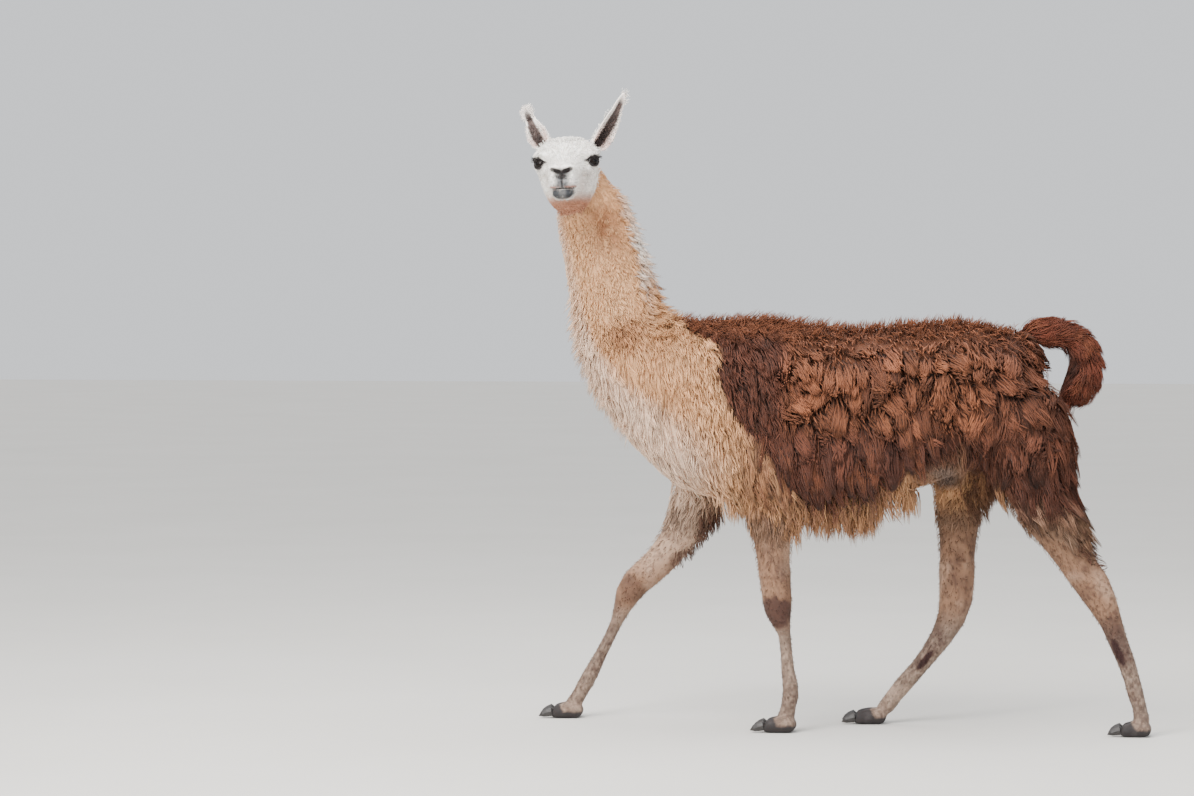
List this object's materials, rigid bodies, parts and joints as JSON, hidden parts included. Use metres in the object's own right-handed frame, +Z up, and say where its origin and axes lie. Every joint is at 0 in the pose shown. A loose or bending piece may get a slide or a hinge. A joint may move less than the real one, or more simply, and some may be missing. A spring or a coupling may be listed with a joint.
{
  "type": "llama",
  "caption": "Life-size still figure of a llama walking with its head turned to its left, in a coat of reddish brown, tan and white fleece.",
  "frame": {"origin": "bottom centre of the bounding box, at the level of the soles", "axes": "+Z up, the animal walks towards -X, its left side faces -Y and its right side +Y"},
  "size_m": [1.7156, 0.5416, 1.7265],
  "materials": {
    "fleece_brown": "matted reddish brown fleece",
    "fleece_cream": "soft tan to cream wool",
    "face": "very short white hair",
    "leg": "short grey-cream mottled hair",
    "pad": "dark bare toe pad",
    "nail": "worn horn, dark blue-grey with a slight shine",
    "eye": "wet, near-black"
  },
  "bodies": {
    "root": {"head": "face", "eye_left": "eye", "eye_right": "eye", "ear_left": "face", "ear_right": "face", "neck": "fleece_cream", "trunk": "fleece_brown", "tail_root": "fleece_brown", "tail_bend": "fleece_brown", "tail_tip": "fleece_brown", "fore_left_upper": "leg", "fore_left_lower": "leg", "fore_left_foot": "pad", "fore_left_nail_left": "nail", "fore_left_nail_right": "nail", "fore_right_upper": "leg", "fore_right_lower": "leg", "fore_right_foot": "pad", "fore_right_nail_left": "nail", "fore_right_nail_right": "nail", "hind_left_upper": "leg", "hind_left_lower": "leg", "hind_left_foot": "pad", "hind_left_nail_left": "nail", "hind_left_nail_right": "nail", "hind_right_upper": "leg", "hind_right_lower": "leg", "hind_right_foot": "pad", "hind_right_nail_left": "nail", "hind_right_nail_right": "nail"}
  },
  "joints": []
}
